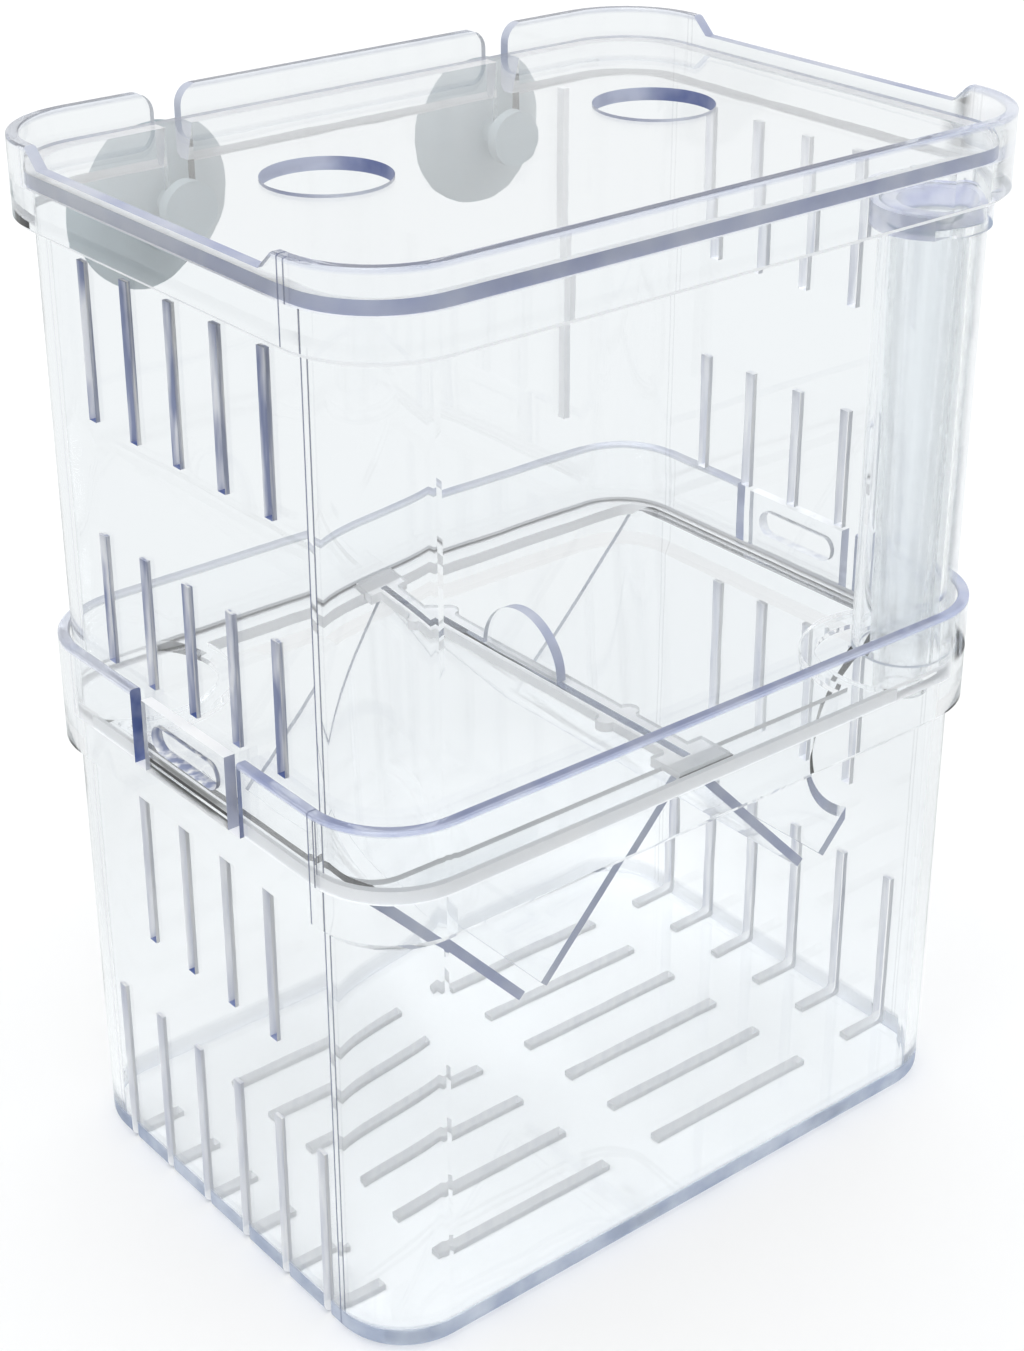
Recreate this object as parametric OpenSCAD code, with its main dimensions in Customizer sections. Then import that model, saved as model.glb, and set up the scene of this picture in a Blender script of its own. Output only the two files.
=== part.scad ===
// Two-storey fish breeding box: a slotted tank below, a slotted sleeve above,
// and between them a trap tray whose V-shaped troughs let the fry drop through.

/* [Walls] */
// Outside width of the box walls, along the long side
body_w = 119.2; // [110:0.2:130]
// Outside depth of the box walls, front to back
body_d = 85.4; // [78:0.2:92]
// Outside radius of the upright corners
corner_r = 12; // [11:0.5:14]
// Thickness of every box wall
wall = 1.8; // [1.4:0.1:2.2]
// Radius of the softened edges of the rims
rim_edge_r = 0.4; // [0.2:0.05:0.6]
// Gap left all round between a piece and what it drops into
fit_gap = 0.3; // [0.2:0.05:0.5]

/* [Lower box] */
// Height of the lower box, floor to collar top
lower_h = 90; // [80:1:100]
// Thickness of the floor
floor_t = 2; // [1.6:0.1:3]
// Radius of the outside edge between floor and walls
foot_r = 1.6; // [1:0.1:3]
// Depth of the tray's ledge below the collar top
tray_seat_depth = 12; // [11:0.5:15]
// Height of the thick band under the tray's ledge
lower_band_h = 5.5; // [4:0.5:8]
// Height of the slope that leads from the wall out to that band
band_slope_h = 2.2; // [1.5:0.1:3]
// Width of the notch in each short side of the collar
tab_notch_w = 27.6; // [26:0.2:32]

/* [Water slots] */
// Width of every water slot
slot_w = 1.8; // [1.2:0.1:2.4]
// Distance from one slot to the next
slot_pitch = 10.9; // [9.5:0.1:11.5]
// Top of the lower row of slots in the lower box
low_slot_top = 30.7; // [24:0.1:36]
// Length of those slots across the floor, from the outside of the wall
low_slot_reach = 10; // [6:0.5:14]
// Bottom of the upper row of slots in the lower box
mid_slot_bottom = 44.6; // [40:0.1:50]
// Inner end of the floor slots, from the middle of the floor
floor_slot_in = 5.3; // [3:0.1:9]
// Outer end of the floor slots, from the middle of the floor
floor_slot_out = 39; // [30:0.5:44]
// Bottom of the upper box's lower slots, above its own lower edge
sleeve_slot_1 = 10.8; // [8:0.1:14]
// Length of the upper box's lower slots
sleeve_slot_1_len = 20.4; // [14:0.1:24]
// Bottom of the upper box's upper slots, above its own lower edge
sleeve_slot_2 = 48.7; // [44:0.1:52]
// Length of the upper box's upper slots
sleeve_slot_2_len = 23.4; // [16:0.1:24]

/* [Trap tray] */
// Thickness of the tray's frame
tray_t = 2; // [1.8:0.1:2.6]
// Width of the tray's frame along the short sides
frame_side = 3.2; // [3:0.1:5]
// Width of the tray's frame along the long sides
frame_end = 6; // [5:0.1:7]
// Inside corner radius of the tray's frame
frame_r = 5; // [2:0.5:7]
// Thickness of the sloping trough plates
trough_t = 1.5; // [1.2:0.1:2]
// Depth of the troughs below the top of the tray
trough_depth = 28.8; // [22:0.2:32]
// Width of the slit at the bottom of each trough
trough_slit = 3.2; // [2:0.1:4]
// Distance from the middle of the tray to the middle of each slit
trough_mid = 28.4; // [25:0.2:31]
// Width of each lifting tab
tab_w = 21.6; // [21:0.2:25]
// Distance from the top of a tab to the collar top
tab_drop = 0.4; // [0:0.1:1]
// Length of the finger slot in each tab
tab_slot_len = 17; // [12:0.5:18]
// Height of that finger slot
tab_slot_h = 4.4; // [4.2:0.1:5]
// Radius of the round cut in two corners of the tray, for the feeding tube
tube_cut_r = 13; // [12:0.5:14]
// Width of the curved strip that carries the frame round that cut
cut_strip = 2.4; // [1.8:0.1:4]

/* [Ridge divider] */
// Width of the bar along the ridge
bar_w = 4.6; // [4:0.1:6]
// Thickness of that bar
bar_t = 1.6; // [1.4:0.1:2.6]
// Depth of the pockets in the tray's frame that hold the bar's heads
head_pocket = 1.2; // [0.6:0.1:1.3]
// Width of the heads at the ends of the bar
head_w = 10; // [8:0.5:14]
// Radius of the half-round thumb tab
thumb_r = 9; // [7:0.5:11]
// Thickness of the thumb tab
thumb_t = 1.8; // [1.4:0.1:2.4]
// Radius of the small lugs beside the bar
lug_r = 1.6; // [1:0.1:2.2]
// Distance from the middle of the bar to those lugs
lug_y = 22; // [18:0.5:26]

/* [Upper box] */
// Height of the upper box, lower edge to rim
upper_h = 86.8; // [82:0.2:96]
// How far the upper collar stands out from the walls
upper_step = 2.9; // [2.5:0.1:3.5]
// Depth of the lid's ledge below the rim
lid_seat_depth = 6.4; // [5:0.1:8]
// Height of the thick band under the lid's ledge
upper_band_h = 6; // [5:0.1:8]
// Chamfer under that band
band_chamfer = 0.8; // [0.4:0.1:1.2]
// How far the rim is lowered along the short sides
rim_drop = 2.8; // [2:0.1:3.4]
// Length of the lowered rim at its bottom
rim_drop_len = 53; // [44:0.5:56]
// Length of the slope at each end of the lowered rim
rim_slope = 3; // [2:0.1:4]
// Depth of the rib on the inside of the back wall
rib_depth = 1.6; // [1:0.1:3]
// Thickness of that rib
rib_t = 1.2; // [1:0.1:1.6]
// Distance from the right wall's outside to that rib
rib_inset = 17.6; // [14:0.2:22]
// Bottom of that rib, above the lower edge of the upper box
rib_bottom = 18.4; // [14:0.2:30]

/* [Lid] */
// Thickness of the lid
lid_t = 2; // [1.6:0.1:2.6]
// Gap all round between the lid and the collar
lid_gap = 0.5; // [0.3:0.1:1]
// Radius of the two holes in the lid
lid_hole_r = 9.3; // [7:0.1:11]
// Distance from each short wall's outside to the nearer hole in the lid
lid_hole_inset = 29.6; // [24:0.2:38]
// Distance from the middle of the lid to the holes, towards the back
lid_hole_y = 5; // [-6:0.5:10]

/* [Feeding tube] */
// Outside radius of the tube under its flange
tube_top_r = 5.6; // [5:0.1:5.8]
// Outside radius of the tube at its lower end
tube_end_r = 4.2; // [4:0.1:5]
// Thickness of the tube's wall
tube_wall = 1; // [0.8:0.1:1.1]
// Radius of the tube's flange
flange_r = 8.3; // [7.8:0.1:8.6]
// Thickness of the tube's flange
flange_t = 2.4; // [1.6:0.1:3]
// How far the tube reaches below the upper box
tube_reach = 6; // [3:0.5:12]
// Distance from the right wall's outside to the tube's axis
tube_inset_x = 11.2; // [11:0.1:12]
// Distance from the front wall's outside to the tube's axis
tube_inset_y = 8.9; // [8.7:0.1:10]
// Depth of the flange's seat below the lid's ledge
flange_seat_depth = 9.2; // [8:0.1:12]
// Thickness of the wall round the flange's seat and of the tube's guide
seat_wall = 1.2; // [1:0.1:1.4]
// Gap between the tube and its guide
guide_gap = 0.5; // [0.3:0.1:0.7]

/* [Suction cups] */
// Distance from each short wall's outside to the nearer suction cup
cup_inset = 28.6; // [24:0.2:34]
// Depth of each cup's axis below the rim
cup_drop = 18.8; // [16:0.2:22]
// Radius of each cup's disc
cup_r = 12.8; // [11:0.1:15]
// Depth of each cup's disc
cup_depth = 4; // [3.4:0.1:8]
// Radius of each cup's neck
neck_r = 2; // [1.8:0.1:2.8]
// Radius of the knob inside the box
knob_r = 4.5; // [4:0.1:6]
// Thickness of that knob
knob_t = 2; // [1.5:0.1:3]
// Radius of the rounded mouth of each cup's notch
mouth_r = 3.2; // [2:0.1:4]

/* [Hidden] */
$fn = 64;
over = 1;

// Corner centres, shared by every piece, so that all corners stay concentric
corner_x = body_w / 2 - corner_r;
corner_y = body_d / 2 - corner_r;
inner_r = corner_r - wall;
inside_x = body_w / 2 - wall;
inside_y = body_d / 2 - wall;

// Lower box
socket_r = corner_r + fit_gap;
lower_collar_r = socket_r + wall;
tray_z = lower_h - tray_seat_depth;
lower_band_z = tray_z - lower_band_h;

// Trap tray
tray_top = tray_z + tray_t;
opening_x = body_w / 2 - frame_side;
opening_y = body_d / 2 - frame_end;
tab_out = body_w / 2 + fit_gap + wall;
tab_in = body_w / 2 + fit_gap;
tab_top = lower_h - tab_drop;
tab_slot_z = tray_top + (tab_top - tray_top) / 2;
trough_z = tray_top - trough_depth;

// Ridge divider
bar_z = tray_top - head_pocket;
head_y = inside_y - 2 * fit_gap;

// Upper box
upper_z = tray_top;
rim_z = upper_z + upper_h;
upper_collar_r = corner_r + upper_step;
lid_z = rim_z - lid_seat_depth;
upper_band_z = lid_z - upper_band_h;
rib_x = body_w / 2 - rib_inset;
lid_socket_r = upper_collar_r - wall;

// Lid
lid_hole_x = body_w / 2 - lid_hole_inset;

// Feeding tube
tube_x = body_w / 2 - tube_inset_x;
tube_y = -body_d / 2 + tube_inset_y;
flange_z = lid_z - flange_seat_depth;
guide_r = tube_top_r + guide_gap;
flange_pocket_r = flange_r + fit_gap;

// Suction cups
cup_x = body_w / 2 - cup_inset;
cup_z = rim_z - cup_drop;
notch_r = neck_r + fit_gap;
knob_y = inside_y - fit_gap;
cup_back_y = body_d / 2 + upper_step + fit_gap;

// Slot positions in the rows of four, five and six
function row(count) = [for (i = [0 : count - 1]) (i - (count - 1) / 2) * slot_pitch];

// Solid with rounded corners all round, made from one profile. The profile's x is the
// distance out from the corner centres and its y is the height; it starts at x = 0.
module around(bottom, top) {
    for (sx = [-1, 1], sy = [-1, 1])
        translate([sx * corner_x, sy * corner_y, 0])
            rotate_extrude()
                children();
    for (turn = [0, 180]) {
        rotate([0, 0, turn])
            translate([corner_x, 0, 0])
                rotate([90, 0, 0])
                    linear_extrude(2 * corner_y, center = true)
                        children();
        rotate([0, 0, turn + 90])
            translate([corner_y, 0, 0])
                rotate([90, 0, 0])
                    linear_extrude(2 * corner_x, center = true)
                        children();
    }
    translate([-corner_x, -corner_y, bottom])
        cube([2 * corner_x, 2 * corner_y, top - bottom]);
}

// Upright-sided profile for around()
module straight(r, bottom, top) {
    translate([0, bottom])
        square([r, top - bottom]);
}

// Profile with a rounded lower edge for around()
module footed(r, bottom, top, edge_r) {
    translate([0, bottom])
        square([r - edge_r, top - bottom]);
    translate([0, bottom + edge_r])
        square([r, top - bottom - edge_r]);
    translate([r - edge_r, bottom + edge_r])
        circle(edge_r);
}

// Profile of a collar for around(): an outer wall with a softened rim
module rimmed(r, bottom, top) {
    translate([0, bottom])
        square([r, top - bottom - rim_edge_r]);
    translate([0, top - over])
        square([r - rim_edge_r, over]);
    translate([r - rim_edge_r, top - rim_edge_r])
        circle(rim_edge_r);
}

// Profile that cuts a collar's inside for around(), with a softened mouth
module mouth(r, bottom, top) {
    translate([0, bottom])
        square([r, top - bottom + over]);
    difference() {
        translate([0, top - rim_edge_r])
            square([r + rim_edge_r, rim_edge_r + over]);
        translate([r + rim_edge_r, top - rim_edge_r])
            circle(rim_edge_r);
    }
}

// Flat rounded plate, grown or shrunk from the outline of the walls
module plate(r, bottom, top) {
    around(bottom, top)
        straight(r, bottom, top);
}

// Slots through both short walls: a row of upright gaps
module wall_slots(count, bottom, top, reach) {
    for (side = [-1, 1], y = row(count))
        translate([side * (body_w / 2 + upper_step - reach / 2), y, (bottom + top) / 2])
            cube([reach, slot_w, top - bottom], center = true);
}

module lower_box() {
    band_reach = upper_step + wall + over;
    color([0.86, 0.9, 0.95, 0.35])
    difference() {
        union() {
            around(0, lower_h - over)
                footed(corner_r, 0, lower_h - over, foot_r);
            around(lower_band_z - band_slope_h, lower_h) {
                polygon([[0, lower_band_z - band_slope_h], [corner_r, lower_band_z - band_slope_h],
                    [lower_collar_r, lower_band_z], [0, lower_band_z]]);
                rimmed(lower_collar_r, lower_band_z, lower_h);
            }
        }
        around(floor_t, tray_z + over)
            footed(inner_r, floor_t, tray_z + over, foot_r / 2);
        around(tray_z, lower_h + over)
            mouth(socket_r, tray_z, lower_h);
        // Notches for the tray's lifting tabs
        for (side = [-1, 1])
            translate([side * (body_w / 2 + wall), 0, lower_h])
                cube([4 * wall, tab_notch_w, 2 * tray_seat_depth], center = true);
        // Slots that run down the short walls and in across the floor
        wall_slots(6, -over, low_slot_top, upper_step + low_slot_reach);
        wall_slots(4, mid_slot_bottom, lower_band_z - band_slope_h, band_reach);
        for (side = [-1, 1], y = row(6))
            translate([side * (floor_slot_in + floor_slot_out) / 2, y, 0])
                cube([floor_slot_out - floor_slot_in, slot_w, 4 * floor_t], center = true);
    }
}

// One sloping trough plate. Its upper face runs from (x_top, z_top) down to (x_low, z_low).
module trough_plate(x_top, z_top, x_low, z_low, length) {
    lean = atan2(z_top - z_low, abs(x_top - x_low));
    dx = sign(x_top - x_low) * trough_t * sin(lean);
    dz = trough_t * cos(lean);
    rotate([90, 0, 0])
        linear_extrude(length, center = true)
            polygon([[x_top, z_top], [x_low, z_low],
                [x_low + dx, z_low - dz], [x_top + dx, z_top - dz]]);
}

// Rounded lifting tab that stands at one end of the tray
module tray_tab() {
    difference() {
        translate([tab_in - frame_side, -tab_w / 2, tray_z])
            cube([tab_out - tab_in + frame_side, tab_w, tab_top - tray_z]);
        translate([tab_in - frame_side - over, -tab_w, tray_top])
            cube([frame_side + over, 2 * tab_w, tab_top]);
        translate([tab_in - over, 0, tab_slot_z])
            rotate([90, 0, 90])
                linear_extrude(2 * wall + 2 * over)
                    slot_outline(tab_slot_len, tab_slot_h);
    }
}

// Slot with round ends, seen flat
module slot_outline(length, height) {
    square([length - height, height], center = true);
    for (side = [-1, 1])
        translate([side * (length - height) / 2, 0])
            circle(height / 2);
}

// Rectangle with rounded corners, seen flat
module rounded_outline(width, depth, r) {
    square([width - 2 * r, depth], center = true);
    square([width, depth - 2 * r], center = true);
    for (sx = [-1, 1], sy = [-1, 1])
        translate([sx * (width / 2 - r), sy * (depth / 2 - r)])
            circle(r);
}

// Circles round the tube's axis and its mirror point, so that the tray fits either way round
module tube_circles(r) {
    for (side = [-1, 1])
        translate([side * tube_x, side * tube_y])
            circle(r);
}

module trap_tray() {
    color([0.86, 0.9, 0.95, 0.35])
    difference() {
        union() {
            difference() {
                plate(corner_r, tray_z, tray_top);
                translate([0, 0, tray_z - over])
                    linear_extrude(tray_t + 2 * over)
                        difference() {
                            rounded_outline(2 * opening_x, 2 * opening_y, frame_r);
                            tube_circles(tube_cut_r + cut_strip);
                        }
            }
            for (turn = [0, 180])
                rotate([0, 0, turn]) {
                    tray_tab();
                    intersection() {
                        trough_plate(opening_x, tray_top,
                            trough_mid + trough_slit / 2, trough_z, 2 * opening_y);
                        plate(inner_r - fit_gap, trough_z - over, tray_top);
                    }
                }
        }
        // Pockets for the heads of the ridge divider's bar
        for (turn = [0, 180])
            rotate([0, 0, turn])
                translate([-head_w / 2 - fit_gap, opening_y - over, bar_z])
                    cube([head_w + 2 * fit_gap, head_y - opening_y + over + fit_gap, tray_t]);
        // Round cuts that clear the feeding tube
        translate([0, 0, trough_z - over])
            linear_extrude(trough_depth + 2 * over)
                tube_circles(tube_cut_r);
    }
}

module ridge_divider() {
    ridge_y = opening_y - fit_gap;
    color([0.86, 0.9, 0.95, 0.35]) {
        translate([-bar_w / 2, -opening_y, bar_z])
            cube([bar_w, 2 * opening_y, bar_t]);
        for (turn = [0, 180])
            rotate([0, 0, turn]) {
                translate([-head_w / 2, ridge_y - bar_w / 2, bar_z])
                    cube([head_w, head_y - ridge_y + bar_w / 2, bar_t]);
                for (side = [-1, 1])
                    translate([side * bar_w / 2, lug_y, bar_z])
                        cylinder(r = lug_r, h = bar_t);
                trough_plate(0, bar_z + bar_t / 2, trough_mid - trough_slit / 2, trough_z, 2 * ridge_y);
            }
        // Half-round thumb tab
        translate([0, 0, bar_z + bar_t])
            intersection() {
                rotate([0, 90, 0])
                    cylinder(r = thumb_r, h = thumb_t, center = true);
                translate([-thumb_t, -thumb_r, -bar_t / 2])
                    cube([2 * thumb_t, 2 * thumb_r, thumb_r + bar_t]);
            }
    }
}

// Outline of the notch that holds a suction cup's neck, seen from the back
module cup_notch() {
    circle(notch_r);
    translate([-notch_r, 0])
        square([2 * notch_r, cup_drop + over]);
    difference() {
        translate([-notch_r - mouth_r, cup_drop - mouth_r])
            square([2 * (notch_r + mouth_r), mouth_r + over]);
        for (side = [-1, 1])
            translate([side * (notch_r + mouth_r), cup_drop - mouth_r])
                circle(mouth_r);
    }
}

module upper_box() {
    wall_reach = upper_step + wall + over;
    color([0.86, 0.9, 0.95, 0.35])
    difference() {
        union() {
            difference() {
                union() {
                    plate(corner_r, upper_z, rim_z - over);
                    around(upper_band_z, rim_z) {
                        polygon([[0, upper_band_z], [upper_collar_r - band_chamfer, upper_band_z],
                            [upper_collar_r, upper_band_z + band_chamfer],
                            [0, upper_band_z + band_chamfer]]);
                        rimmed(upper_collar_r, upper_band_z + band_chamfer, rim_z);
                    }
                    // Cup that holds the feeding tube's flange
                    translate([tube_x, tube_y, flange_z - seat_wall])
                        cylinder(r = flange_pocket_r + seat_wall, h = lid_z - flange_z);
                }
                plate(inner_r, upper_z - over, lid_z + over);
                around(lid_z, rim_z + over)
                    mouth(lid_socket_r, lid_z, rim_z);
            }
            // Flange cup's inner part and the guide below it, kept inside the walls
            intersection() {
                plate(corner_r - wall / 2, upper_z, rim_z);
                union() {
                    translate([tube_x, tube_y, flange_z - seat_wall])
                        cylinder(r = flange_pocket_r + seat_wall, h = seat_wall + flange_t);
                    translate([tube_x, tube_y, upper_z + over])
                        cylinder(r = guide_r + seat_wall, h = flange_z - upper_z - over);
                }
            }
            // Rib on the back wall
            translate([rib_x - rib_t / 2, inside_y - rib_depth, upper_z + rib_bottom])
                cube([rib_t, rib_depth + wall / 2, upper_band_z - upper_z - rib_bottom]);
        }
        // Flange pocket and the tube's guide
        translate([tube_x, tube_y, flange_z])
            cylinder(r = flange_pocket_r, h = lid_z - flange_z + over);
        translate([tube_x, tube_y, upper_z - over])
            cylinder(r = guide_r, h = flange_z - upper_z + 2 * over);
        // Lowered rim along the short sides
        for (turn = [0, 180])
            rotate([0, 0, turn])
                translate([inside_x - over, 0, rim_z])
                    rotate([90, 0, 90])
                        linear_extrude(2 * upper_step + wall + 2 * over)
                            polygon([[-rim_drop_len / 2 - rim_slope, 0], [-rim_drop_len / 2, -rim_drop],
                                [rim_drop_len / 2, -rim_drop], [rim_drop_len / 2 + rim_slope, 0],
                                [rim_drop_len / 2 + rim_slope, over],
                                [-rim_drop_len / 2 - rim_slope, over]]);
        // Notches for the suction cups
        for (side = [-1, 1])
            translate([side * cup_x, inside_y - over, cup_z])
                rotate([90, 0, 180])
                    linear_extrude(upper_step + 2 * wall + 2 * over)
                        cup_notch();
        wall_slots(5, upper_z + sleeve_slot_1, upper_z + sleeve_slot_1 + sleeve_slot_1_len, wall_reach);
        wall_slots(5, upper_z + sleeve_slot_2, upper_z + sleeve_slot_2 + sleeve_slot_2_len, wall_reach);
    }
}

module lid() {
    color([0.86, 0.9, 0.95, 0.35])
    difference() {
        plate(lid_socket_r - lid_gap, lid_z, lid_z + lid_t);
        for (side = [-1, 1])
            translate([side * lid_hole_x, lid_hole_y, lid_z - over])
                cylinder(r = lid_hole_r, h = lid_t + 2 * over);
    }
}

module feeding_tube() {
    tube_bottom = upper_z - tube_reach;
    color([0.86, 0.9, 0.95, 0.35])
    translate([tube_x, tube_y, 0])
        rotate_extrude()
            difference() {
                union() {
                    polygon([[0, tube_bottom], [tube_end_r, tube_bottom],
                        [tube_top_r, flange_z], [0, flange_z]]);
                    translate([0, flange_z])
                        square([flange_r, flange_t - rim_edge_r]);
                    translate([0, flange_z])
                        square([flange_r - rim_edge_r, flange_t]);
                    translate([flange_r - rim_edge_r, flange_z + flange_t - rim_edge_r])
                        circle(rim_edge_r);
                }
                polygon([[0, tube_bottom - over], [tube_end_r - tube_wall, tube_bottom - over],
                    [tube_end_r - tube_wall, tube_bottom], [tube_top_r - tube_wall, flange_z],
                    [tube_top_r + tube_wall / 2, flange_z + flange_t],
                    [tube_top_r + tube_wall / 2, flange_z + flange_t + over],
                    [0, flange_z + flange_t + over]]);
            }
}

// Suction cup with its knob, neck and hollow disc, with its axis along +Y
module suction_cup(x) {
    cup_end_y = cup_back_y + cup_depth;
    dome_r = (cup_r * cup_r + cup_depth * cup_depth) / (2 * cup_depth);
    hollow_r = dome_r + wall;
    color([0.72, 0.78, 0.82, 0.8])
    translate([x, 0, cup_z])
        rotate([-90, 0, 0])
            rotate_extrude() {
                translate([0, knob_y - knob_t])
                    square([knob_r, knob_t]);
                translate([0, knob_y - over])
                    square([neck_r, cup_back_y - knob_y + 2 * over]);
                difference() {
                    intersection() {
                        translate([0, cup_back_y + dome_r])
                            circle(dome_r);
                        translate([0, cup_back_y])
                            square([cup_r, cup_depth]);
                    }
                    translate([0, cup_back_y + wall + hollow_r])
                        circle(hollow_r);
                }
            }
}

module suction_cup_left() {
    suction_cup(-cup_x);
}

module suction_cup_right() {
    suction_cup(cup_x);
}

lower_box();
trap_tray();
ridge_divider();
upper_box();
lid();
feeding_tube();
suction_cup_left();
suction_cup_right();
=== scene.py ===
import math

import bpy
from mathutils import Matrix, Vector
from mathutils.bvhtree import BVHTree

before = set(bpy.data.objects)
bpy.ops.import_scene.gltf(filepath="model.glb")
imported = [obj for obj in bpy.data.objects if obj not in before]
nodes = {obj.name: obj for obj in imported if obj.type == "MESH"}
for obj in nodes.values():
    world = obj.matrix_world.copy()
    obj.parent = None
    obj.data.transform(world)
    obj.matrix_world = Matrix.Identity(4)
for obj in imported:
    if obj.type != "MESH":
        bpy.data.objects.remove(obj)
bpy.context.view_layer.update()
scene = bpy.context.scene
X, Y, Z = range(3)


def mm(*values):
    """A point given in millimetres, as metres."""
    return Vector(values) / 1000


# ---------------------------------------------------------------- shader building

# A Mix node's colour sockets go by place, because its number sockets have the same names
MIX_FIRST, MIX_SECOND, MIX_RESULT = 6, 7, 2


def feed(tree, target, value):
    """Puts a number, a colour or another socket on an input socket."""
    if isinstance(value, Wire):
        tree.links.new(value.socket, target)
    elif isinstance(value, (tuple, list)):
        size = len(target.default_value)
        target.default_value = (tuple(value) + (1.0,))[:size]
    else:
        target.default_value = value


class Wire:
    """One output of a shader node, with arithmetic."""

    def __init__(self, socket):
        self.socket = socket

    def maths(self, operation, *terms):
        """Adds a Math node on these terms, beside this output."""
        tree = self.socket.id_data
        node = tree.nodes.new("ShaderNodeMath")
        node.operation = operation
        for target, value in zip(node.inputs, terms):
            feed(tree, target, value)
        return Wire(node.outputs[0])

    def __add__(self, other):
        return self.maths("ADD", self, other)

    def __radd__(self, other):
        return self.maths("ADD", other, self)

    def __sub__(self, other):
        return self.maths("SUBTRACT", self, other)

    def __rsub__(self, other):
        return self.maths("SUBTRACT", other, self)

    def __mul__(self, other):
        return self.maths("MULTIPLY", self, other)

    def __rmul__(self, other):
        return self.maths("MULTIPLY", other, self)

    def __truediv__(self, other):
        return self.maths("DIVIDE", self, other)

    def __rtruediv__(self, other):
        return self.maths("DIVIDE", other, self)

    def __pow__(self, other):
        return self.maths("POWER", self, other)

    def __rpow__(self, other):
        return self.maths("POWER", other, self)

    def __neg__(self):
        return self.maths("MULTIPLY", self, -1.0)

    def __abs__(self):
        return self.maths("ABSOLUTE", self)

    def at_least(self, value):
        return self.maths("MAXIMUM", self, value)

    def at_most(self, value):
        return self.maths("MINIMUM", self, value)

    def clamp(self):
        """Keeps the value between 0 and 1."""
        return self.at_most(1.0).at_least(0.0)

    def above(self, edge, soft):
        """Rises from 0 to 1 as this value passes the edge, over a width of soft."""
        return ((self - edge) / soft + 0.5).clamp()


class Shader:
    """A node tree being built, with its output node."""

    def __init__(self, tree, output):
        self.tree = tree
        self.tree.nodes.clear()
        self.output = self.tree.nodes.new(output)

    def node(self, kind, settings=None, inputs=None, output=0):
        """Adds a node, sets it, feeds its inputs and returns one of its outputs."""
        node = self.tree.nodes.new(kind)
        for key, value in (settings or {}).items():
            setattr(node, key, value)
        for key, value in (inputs or {}).items():
            feed(self.tree, node.inputs[key], value)
        return Wire(node.outputs[output])

    def place(self):
        """Where a point lies on its piece, in metres."""
        return self.node("ShaderNodeTexCoord", output="Object")

    def axes(self, vector):
        """The three numbers of a vector."""
        split = self.node("ShaderNodeSeparateXYZ", inputs={"Vector": vector})
        outputs = split.socket.node.outputs
        return [Wire(outputs[axis]) for axis in "XYZ"]

    def noise(self, place, scale, detail, **more):
        """Clouds and streaks: soft noise between 0 and 1. Other sockets go by their names."""
        inputs = {"Vector": place, "Scale": scale, "Detail": detail, **more}
        return self.node("ShaderNodeTexNoise", inputs=inputs, output="Fac")

    def blend(self, share, first, second):
        """A colour between two others: the first where the share is 0."""
        inputs = {"Factor": share, MIX_FIRST: first, MIX_SECOND: second}
        return self.node("ShaderNodeMix", {"data_type": "RGBA"}, inputs, MIX_RESULT)

    def layer(self, share, first, second):
        """A surface between two others: the first where the share is 0."""
        return self.node("ShaderNodeMixShader", inputs={0: share, 1: first, 2: second})

    def window(self, colour):
        """Lets the view straight through."""
        return self.node("ShaderNodeBsdfTransparent", inputs={"Color": colour})

    def finish_with(self, **parts):
        """Joins the surface, and the volume where there is one, to the output."""
        for part, wire in parts.items():
            self.tree.links.new(wire.socket, self.output.inputs[part])


class Finish(Shader):
    """A material being built."""

    def __init__(self, name):
        self.material = bpy.data.materials.new(name)
        self.material.use_nodes = True
        super().__init__(self.material.node_tree, "ShaderNodeOutputMaterial")


def dress(o, *finishes):
    """Gives an object these finishes, the first one on every face."""
    o.data.materials.clear()
    for finish in finishes:
        o.data.materials.append(finish.material)


# ---------------------------------------------------------------- patches of a surface

# A patch ends where the surface turns by more than this
CREASE = math.radians(14)
# Points that round to the same step of half a micrometre are one point
STEPS_PER_METRE = 2e6
# Smaller faces, in square metres, are specks of the mesh and are left out
SPECK = 1e-13
# The depth behind a face is measured from this far under it, in metres
UNDER_THE_FACE = 1e-5
# A patch with less reach than this along an axis, in millimetres, is square to it
FLAT = 0.05


def middle_depth(depths):
    """The depth at half of the area, from pairs of a depth and an area."""
    depths = sorted(depths)
    half = sum(area for _, area in depths) / 2
    passed = 0.0
    for depth, area in depths:
        passed += area
        if passed >= half:
            return depth
    return 0.0


class Patch:
    """Faces that join smoothly, with their reach and the depth of plastic behind them in millimetres."""

    def __init__(self, mesh, faces, tree):
        self.faces = [face.index for face in faces]
        self.normal = faces[0].normal
        points = [mesh.vertices[i].co * 1000 for face in faces for i in face.vertices]
        self.low = [min(p[axis] for p in points) for axis in (X, Y, Z)]
        self.high = [max(p[axis] for p in points) for axis in (X, Y, Z)]
        depths = []
        for face in faces:
            start = face.center - face.normal * UNDER_THE_FACE
            _, _, hit, distance = tree.ray_cast(start, -face.normal)
            depths.append((0.0 if hit is None else distance * 1000, face.area))
        self.depth = middle_depth(depths)

    def size(self, axis):
        return self.high[axis] - self.low[axis]

    def within(self, axis, low, high):
        """Tells whether the whole patch lies between two places on an axis."""
        return low < self.low[axis] and self.high[axis] < high


def edges_of(mesh):
    """The faces on each edge, where points in one place count as one point."""
    places = {}
    same = []
    for v in mesh.vertices:
        place = tuple(round(value * STEPS_PER_METRE) for value in v.co)
        same.append(places.setdefault(place, v.index))
    edges = {}
    for face in mesh.polygons:
        if face.area > SPECK:
            ring = [same[i] for i in face.vertices]
            for k, point in enumerate(ring):
                edges.setdefault(frozenset((point, ring[k - 1])), []).append(face)
    return edges


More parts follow.
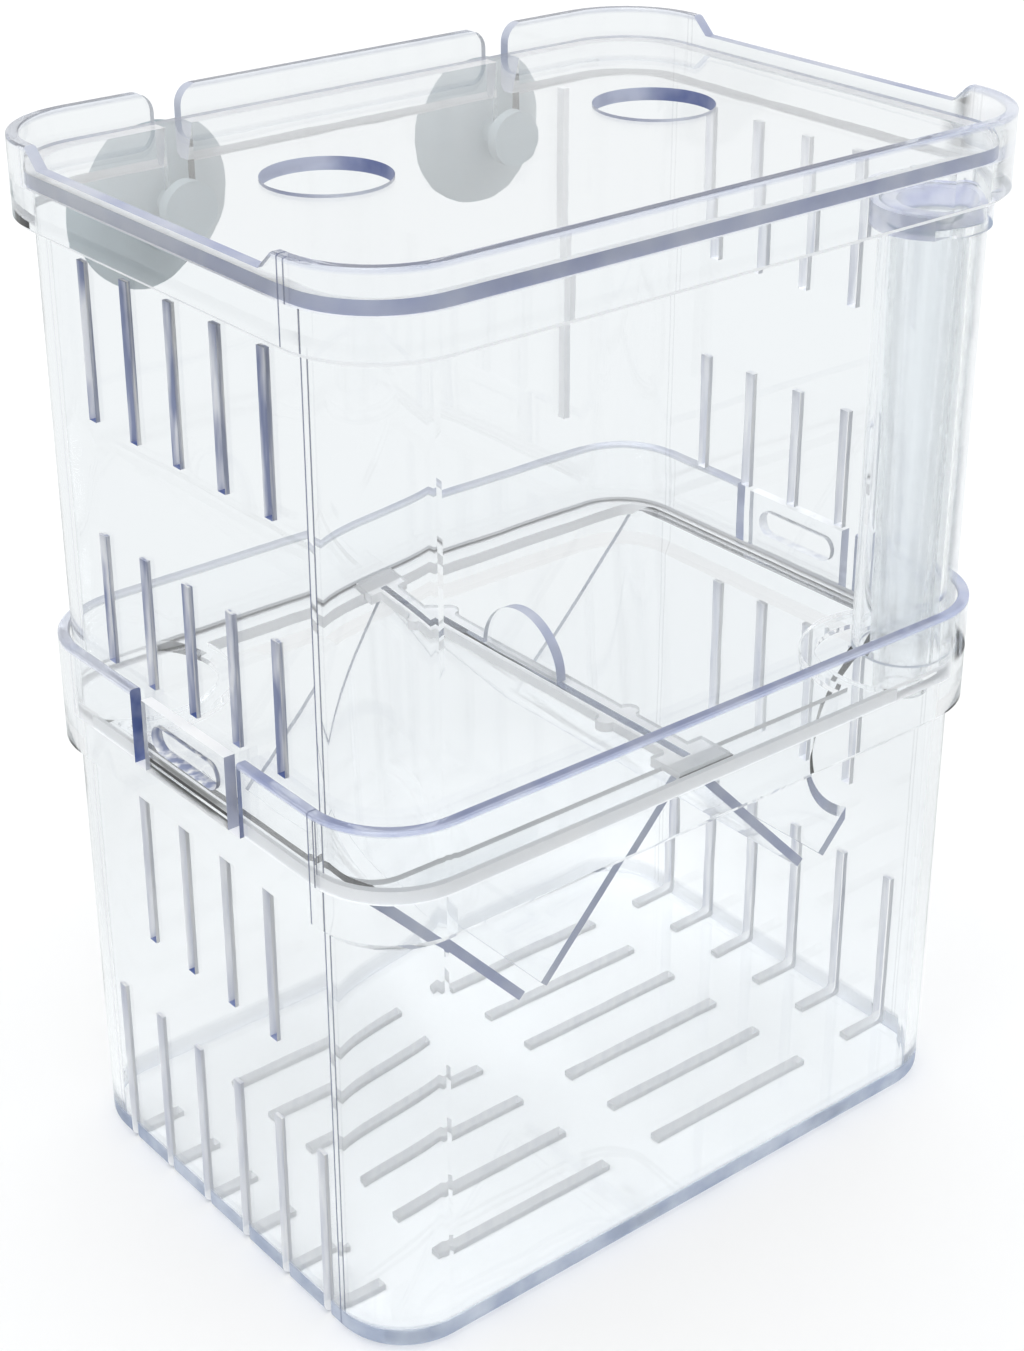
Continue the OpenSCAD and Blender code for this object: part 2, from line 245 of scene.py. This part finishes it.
def patches(o):
    """Splits an object's faces into patches that end where the surface turns sharply."""
    mesh = o.data
    leader = list(range(len(mesh.polygons)))

    def lead(i):
        while leader[i] != i:
            leader[i] = leader[leader[i]]
            i = leader[i]
        return i

    for faces in edges_of(mesh).values():
        if len(faces) == 2 and faces[0].normal.angle(faces[1].normal, math.pi) < CREASE:
            leader[lead(faces[0].index)] = lead(faces[1].index)
    groups = {}
    for face in mesh.polygons:
        if face.area > SPECK:
            groups.setdefault(lead(face.index), []).append(face)
    tree = BVHTree.FromPolygons([v.co for v in mesh.vertices], [f.vertices for f in mesh.polygons])
    return [Patch(mesh, faces, tree) for faces in groups.values()]


# ---------------------------------------------------------------- clear plastic

PLASTIC_IOR = 1.49
# Refraction of the cut faces, low enough that they mirror nothing from inside the plastic
SOFT_IOR = 1.06
# The body takes a little more red than blue from the light that crosses it
BODY_TINT = (0.74, 0.82, 0.86)
BODY_DENSITY = 8.0
WINDOW_TINT = (0.97, 0.975, 0.978)
SHADOW_TINT = (0.995, 0.996, 0.997)

# Both boxes, in metres: where the walls' flats end and the corner arcs begin
FLAT_END_X = 0.0476
FLAT_END_Y = 0.0307
# Inside the plastic, just past the inner corner arc, and just short of the short walls' inner faces
PAST_THE_INNER_ARC = 0.01035
SHORT_WALLS_FROM = 0.0575


def clear_plastic(name, surface, straight=0.0):
    """A clear body under this surface. A share of the view and nearly all lamplight go straight through."""
    m = Finish(name)
    lamplight = m.node("ShaderNodeLightPath", output="Is Shadow Ray")
    seen = m.layer(straight, surface(m), m.window(WINDOW_TINT))
    m.finish_with(
        Surface=m.layer(lamplight, seen, m.window(SHADOW_TINT)),
        Volume=m.node("ShaderNodeVolumeAbsorption", inputs={"Color": BODY_TINT, "Density": BODY_DENSITY}))
    return m


def edge_face(m, colour, roughness, through=0.0, ior=SOFT_IOR):
    """Surface of a cut or moulded edge, mostly lit from outside."""
    return m.node("ShaderNodeBsdfPrincipled", inputs={
        "Base Color": colour, "Roughness": roughness, "IOR": ior, "Transmission Weight": through})


def deep_plastic(m):
    """Plastic seen down its depth: blue-violet with paler streaks, and paler towards the back, which is
    painted light.
    """
    deep = (0.38, 0.43, 0.67)
    pale = (0.74, 0.77, 0.88)
    place = m.place()
    streaks = m.noise(place, scale=90.0, detail=3.0)
    # Painted light: paler towards the back
    back = m.axes(place)[Y].above(0.0, soft=0.09)
    share = ((streaks - 0.42) * 2.4 + back * 0.75).clamp()
    return edge_face(m, m.blend(share, deep, pale), roughness=0.25, through=0.25, ior=PLASTIC_IOR)


def notch_end(m):
    """End of a notch or slot, where light comes down the whole wall: blue, and deeper on the left, which is
    painted shade.
    """
    deep = (0.13, 0.18, 0.42)
    pale = (0.62, 0.67, 0.86)
    place = m.place()
    streaks = m.noise(place, scale=150.0, detail=3.0)
    # Painted shade: deeper towards the left
    left = (-m.axes(place)[X]).above(0.0, soft=0.09)
    share = ((streaks - 0.4) * 2.0 + 0.6 - left * 0.6).clamp()
    return edge_face(m, m.blend(share, deep, pale), roughness=0.25, through=0.2)


def hole_side(m):
    """Side of a lid hole: pale blue-violet, and deep blue on the right, where it faces left, which is
    painted shade.
    """
    pale = (0.66, 0.70, 0.86)
    deep = (0.16, 0.20, 0.42)
    leftwards = (-0.98, -0.18, 0.0)
    streaks = m.noise(m.place(), scale=150.0, detail=3.0)
    normal = m.node("ShaderNodeNewGeometry", output="Normal")
    # Painted shade: deep blue where a side faces left
    shade_by_facing = m.node("ShaderNodeVectorMath", {"operation": "DOT_PRODUCT"}, {
        0: normal, 1: leftwards}, output="Value")
    share = (shade_by_facing.above(0.8, soft=0.5) + (streaks - 0.5) * 1.4).clamp()
    return edge_face(m, m.blend(share, pale, deep), roughness=0.25, through=0.2)


def moulded_sheet(m):
    """Polished sheet with the faint flow waves of moulding."""
    waves = m.noise(m.place(), scale=38.0, detail=2.0, Roughness=0.4)
    bump = m.node("ShaderNodeBump", inputs={"Strength": 0.04, "Distance": 0.002, "Height": waves})
    return m.node("ShaderNodeBsdfPrincipled", inputs={
        "Base Color": (0.99, 0.995, 1.0), "Roughness": 0.0, "IOR": PLASTIC_IOR,
        "Transmission Weight": 1.0, "Normal": bump})


def shaded_foot_band(m):
    """Thick foot under the walls: a streaked blue-grey band, the plastic's depth colour darkened with
    painted shade.
    """
    # Painted shade: the darker blue-grey stands for light the rounded foot reflects back inside
    deep = (0.38, 0.44, 0.58)
    pale = (0.70, 0.75, 0.84)
    streaks = m.noise(m.place(), scale=120.0, detail=3.0)
    share = ((streaks - 0.4) * 2.5).clamp()
    return edge_face(m, m.blend(share, deep, pale), roughness=0.2, through=0.2)


def foot_shade_mask(x, y, height, out):
    """The outside of the foot, where the painted shade is strongest at the front and the left."""
    foot_top = 0.0040
    # Painted shade, weighted to the front and the left
    front = (-(x * 0.6) - y).above(-0.005, soft=0.03)
    low = 1.0 - height.above(foot_top, soft=0.0012)
    return low * out.above(PAST_THE_INNER_ARC, soft=0.0002) * (front * 0.6 + 0.25)


def corner_shade_line_mask(x, y):
    """A fine line of painted shade where the short wall's flat meets the rounded corner, plainest at the
    front left.
    """
    half_width = 0.00014
    line = 1.0 - abs(abs(y) - FLAT_END_Y).above(half_width, soft=0.0001)
    near = (-x - y).above(0.07, soft=0.02)
    return line * abs(x).above(SHORT_WALLS_FROM, soft=0.0002) * (near * 0.75 + 0.12)


def tube_corner_mask(x, y, height):
    """The corner of the upper box that the feeding tube stands in."""
    return x.above(0.051, soft=0.002) * (-y).above(0.028, soft=0.002) * height.above(0.081, soft=0.001)


def box_wall(rim_top, rim_reflection_share):
    """Wall of a box whose rim lies at this height, with painted shade along the foot and at a fine corner
    line, and a painted reflection of the rim's depth colour just under the rim.
    """
    rim_from = (rim_top - 0.7) / 1000

    def surface(m):
        shade_line_colour = (0.16, 0.18, 0.27)
        corner_tint = (0.97, 0.975, 0.98)
        x, y, height = m.axes(m.place())
        # How far out from the middles of the corner arcs
        past_x = (abs(x) - FLAT_END_X).at_least(0.0)
        past_y = (abs(y) - FLAT_END_Y).at_least(0.0)
        out = (past_x * past_x + past_y * past_y) ** 0.5
        # Painted reflection: the rim's depth colour carried a little way down the wall
        rim = height.above(rim_from, soft=0.0004)
        # Painted shade: the fine dark line at the corner
        dark = edge_face(m, shade_line_colour, roughness=0.3, through=0.1)
        # The thick corner round the tube bends almost nothing
        by_the_tube = tube_corner_mask(x, y, height) * 0.8
        plain = m.layer(by_the_tube, moulded_sheet(m), m.window(corner_tint))
        with_rim_reflection = m.layer(rim * rim_reflection_share, plain, deep_plastic(m))
        footed = m.layer(foot_shade_mask(x, y, height, out), with_rim_reflection, shaded_foot_band(m))
        return m.layer(corner_shade_line_mask(x, y), footed, dark)
    return surface


def slot_side(m):
    """Side of a water slot: milky and pale, with painted shade as grey streaks in the upper box's left
    wall.
    """
    grey = (0.34, 0.38, 0.54)
    milky = (0.98, 0.99, 1.0)
    drawn_out_upwards = (1.0, 1.0, 0.12)
    floor_top = 0.0022
    place = m.place()
    x, _, height = m.axes(place)
    # Painted shade: grey streaks in the upper box's left wall
    shaded_upper_left = (-x).above(0.0572, soft=0.0006) * height.above(0.08, soft=0.001)
    wall = height.above(floor_top, soft=0.0004)
    along = m.node("ShaderNodeVectorMath", {"operation": "MULTIPLY"}, {0: place, 1: drawn_out_upwards})
    streaks = m.noise(along, scale=600.0, detail=2.0)
    contrast = 0.3 + wall * 0.9 + shaded_upper_left * 3.0
    share = ((streaks - 0.5) * contrast + 0.95 - wall * 0.15 - shaded_upper_left * 0.4).clamp()
    return edge_face(m, m.blend(share, grey, milky), roughness=0.3)


def pale_plastic(m):
    """Ledges, outer sides and ribs that catch the light and look almost white."""
    greyish = (0.90, 0.92, 0.95)
    white = (1.0, 1.0, 1.0)
    cloud = m.noise(m.place(), scale=110.0, detail=2.0)
    return edge_face(m, m.blend(cloud, greyish, white), roughness=0.3)


def flange_rim(m):
    """Rim of the feeding tube and of its guide: a violet tinge on clear plastic."""
    violet = (0.52, 0.55, 0.78)
    pale = (0.93, 0.94, 0.99)
    cloud = m.noise(m.place(), scale=140.0, detail=2.0)
    share = ((cloud - 0.35) * 3.0).clamp()
    return edge_face(m, m.blend(share, violet, pale), roughness=0.25)


# The finishes of every clear piece but the lid, and the places of the edges in them
EDGE, SLOT, PALE, RIM, NOTCH = range(1, 6)
cut_edge = clear_plastic("cut_edge", deep_plastic, straight=0.1)
edge_finishes = (
    cut_edge,
    clear_plastic("slot_edge", slot_side),
    clear_plastic("pale_edge", pale_plastic),
    clear_plastic("rim_edge", flange_rim, straight=0.5),
    clear_plastic("notch_edge", notch_end),
)
# The lid has the cut edge in the same place, and then the sides of its holes
HOLE = 2

# Heights of the rims, in millimetres
LOWER_RIM = 90.0
UPPER_RIM = 166.8
sheets = {
    "lower_box": clear_plastic("lower_box_wall", box_wall(LOWER_RIM, 0.8)),
    "upper_box": clear_plastic("upper_box_wall", box_wall(UPPER_RIM, 0.4)),
    "trap_tray": clear_plastic("tray_sheet", moulded_sheet),
    "ridge_divider": clear_plastic("ridge_sheet", moulded_sheet),
    "feeding_tube": clear_plastic("tube_wall", moulded_sheet, straight=0.35),
}
for name, sheet in sheets.items():
    dress(nodes[name], sheet, *edge_finishes)
lid_sheet = clear_plastic("lid_sheet", moulded_sheet)
dress(nodes["lid"], lid_sheet, cut_edge, clear_plastic("hole_edge", hole_side))


# ---------------------------------------------------------------- which patch gets which finish

# All places and sizes here are in millimetres. Plastic deeper than this shows its colour
DEEP = 4.0


def finish_patches(name, choose):
    """Puts a finish on each patch of a node that choose() gives one for, and leaves the others clear."""
    o = nodes[name]
    for patch in patches(o):
        finish = choose(patch)
        if finish is not None:
            for i in patch.faces:
                o.data.polygons[i].material_index = finish


def box_finish(patch, slots_reach_y, slots_top, rims_from):
    """Slots and notch ends have finishes of their own. Rims are deep, and ledges and lower edges pale."""
    in_a_slot = max(abs(patch.low[Y]), abs(patch.high[Y])) < slots_reach_y and patch.size(Y) < 2.5
    foot_of_a_slot = patch.high[X] < -57.0 and patch.size(Z) < FLAT and patch.normal.z > 0.9
    end_of_a_notch = patch.size(Y) < FLAT and patch.size(Z) > 5.0 and 74.0 < patch.low[Z] < 85.0
    if in_a_slot and patch.high[Z] < slots_top:
        return NOTCH if foot_of_a_slot else SLOT
    if end_of_a_notch:
        return NOTCH
    if patch.depth > DEEP:
        return EDGE if patch.high[Z] > rims_from else PALE
    return None


def lower_box_finish(patch):
    return box_finish(patch, slots_reach_y=30.0, slots_top=72.0, rims_from=89.0)


def upper_box_finish(patch):
    """As on the lower box, with the guide rings of the tube and the rib on the back wall."""
    by_the_tube = patch.low[X] > 38.0 and patch.high[Y] < -22.0 and patch.within(Z, 80.0, 162.0)
    guide_ring = by_the_tube and patch.size(Z) < 4.0
    rib = patch.within(X, 41.0, 43.0) and patch.low[Y] > 38.0
    if guide_ring:
        return RIM
    if rib:
        return PALE
    return box_finish(patch, slots_reach_y=25.0, slots_top=155.0, rims_from=163.0)


def tray_finish(patch):
    """The frame's sides and the tabs' tops are pale, the holes in the tabs milky."""
    deep = patch.depth > DEEP
    side_of_the_frame = patch.within(Z, 77.9, 80.1)
    top_of_a_tab = patch.low[Z] > 89.0
    hole_in_a_tab = patch.within(Z, 82.0, 88.0)
    if top_of_a_tab or (deep and side_of_the_frame):
        return PALE
    if hole_in_a_tab:
        return SLOT
    return EDGE if deep else None


def ridge_finish(patch):
    """The bar and the undersides of its heads are pale."""
    under_a_head = patch.size(Z) < FLAT and patch.high[Z] < 79.0
    on_the_bar = patch.within(Z, 78.0, 82.0)
    if under_a_head:
        return PALE
    if patch.depth > DEEP:
        return PALE if on_the_bar else EDGE
    return None


def lid_finish(patch):
    """The holes have a finish of their own, and are much narrower than the lid's outer edge."""
    side_of_a_hole = patch.size(X) < 25.0
    if patch.depth > DEEP:
        return HOLE if side_of_a_hole else EDGE
    return None


def tube_finish(patch):
    """The flange has a violet rim, and the rest of the tube is clear."""
    on_the_flange = patch.low[Z] > 150.0
    return RIM if on_the_flange else None


def finish_cup_notches(o):
    """The sides of the cup notches run smoothly into the collar, so they are picked face by face."""
    for face in o.data.polygons:
        x, y, z = face.center * 1000
        across_the_wall = abs(face.normal.y) < 0.1 and abs(face.normal.x) > 0.2
        by_a_notch = 26.0 < abs(x) < 36.0 and y > 41.5 and z > 152.0
        if across_the_wall and by_a_notch:
            face.material_index = EDGE


finish_patches("lower_box", lower_box_finish)
finish_patches("upper_box", upper_box_finish)
finish_patches("trap_tray", tray_finish)
finish_patches("ridge_divider", ridge_finish)
finish_patches("lid", lid_finish)
finish_patches("feeding_tube", tube_finish)
finish_cup_notches(nodes["upper_box"])

# ---------------------------------------------------------------- suction cups


def cup_rubber():
    """Cloudy grey-blue rubber with a fine matt grain."""
    dark = (0.50, 0.59, 0.63)
    light = (0.63, 0.71, 0.74)
    m = Finish("cup_rubber")
    place = m.place()
    grain = m.noise(place, scale=260.0, detail=4.0)
    cloud = m.noise(place, scale=60.0, detail=2.0)
    bump = m.node("ShaderNodeBump", inputs={"Strength": 0.1, "Distance": 0.0005, "Height": grain})
    m.finish_with(Surface=m.node("ShaderNodeBsdfPrincipled", inputs={
        "Base Color": m.blend(cloud, dark, light),
        "Roughness": 0.45 + grain * 0.15, "IOR": 1.41, "Transmission Weight": 0.35, "Normal": bump}))
    return m


rubber = cup_rubber()
dress(nodes["suction_cup_left"], rubber)
dress(nodes["suction_cup_right"], rubber)

# ---------------------------------------------------------------- floor, light, camera


def floor_paper():
    """White to the camera. What the plastic shows of it is paler under the box than further out: painted
    light under the box against its shadow, and painted shade further out that greys the clear walls.
    """
    # Seen only through the plastic: painted light under the box, painted shade further out
    painted_light_under_box = (0.94, 0.955, 0.96)
    painted_shade_further_out = (0.78, 0.795, 0.80)
    plain = (0.93, 0.93, 0.93)
    m = Finish("floor_paper")
    seen_directly = m.node("ShaderNodeLightPath", output="Is Camera Ray")
    from_the_middle = m.node(
        "ShaderNodeVectorMath", {"operation": "LENGTH"}, {0: m.place()}, output="Value")
    through_plastic = m.blend(from_the_middle.above(0.10, soft=0.06), painted_light_under_box, painted_shade_further_out)
    tone = m.blend(seen_directly, through_plastic, plain)
    m.finish_with(Surface=m.node("ShaderNodeBsdfPrincipled", inputs={
        "Base Color": tone, "Roughness": 1.0, "Specular IOR Level": 0.0}))
    return m


def studio():
    """A world that lights the box from all sides and is plain white to the camera."""
    world = bpy.data.worlds.new("studio")
    world.use_nodes = True
    m = Shader(world.node_tree, "ShaderNodeOutputWorld")
    seen_directly = m.node("ShaderNodeLightPath", output="Is Camera Ray")
    light = m.node("ShaderNodeBackground", inputs={"Color": (0.985, 0.992, 0.995), "Strength": 0.93})
    white = m.node("ShaderNodeBackground", inputs={"Color": (1.0, 1.0, 1.0)})
    m.finish_with(Surface=m.layer(seen_directly, light, white))
    return world


def put_in_scene(name, data):
    o = bpy.data.objects.new(name, data)
    scene.collection.objects.link(o)
    return o


def turned_along(direction):
    """The turn that points a lamp or a camera in this direction, upright."""
    return direction.to_track_quat("-Z", "Y").to_euler()


# Just under the feet, so that the floor and the box don't share a surface
FLOOR_Z = -0.0003
FLOOR_SIZE = 8.0
bpy.ops.mesh.primitive_plane_add(size=FLOOR_SIZE, location=(0, 0, FLOOR_Z))
floor = bpy.context.object
floor.name = "floor"
dress(floor, floor_paper())

scene.world = studio()

soft_sun = bpy.data.lights.new("key", "SUN")
soft_sun.energy = 0.9
soft_sun.angle = math.radians(30)
sun = put_in_scene("key", soft_sun)
sun.rotation_euler = turned_along(Vector((0.35, 0.25, -0.9)))

lens = bpy.data.cameras.new("camera")
lens.sensor_fit = "HORIZONTAL"
lens.sensor_width = 36.0
lens.lens = 86.84
lens.shift_x = -0.0082
lens.shift_y = -0.0439
lens.clip_start = 0.01
camera = put_in_scene("camera", lens)
camera.location = mm(-217.96, -265.58, 257.48)
aim = mm(0, 0, 85.4)
camera.rotation_euler = turned_along(aim - camera.location)
scene.camera = camera

scene.view_settings.view_transform = "Standard"
# Clear walls lie many deep, so the light may turn often
scene.cycles.max_bounces = 32
scene.cycles.transmission_bounces = 24
scene.cycles.transparent_max_bounces = 32
scene.cycles.glossy_bounces = 8
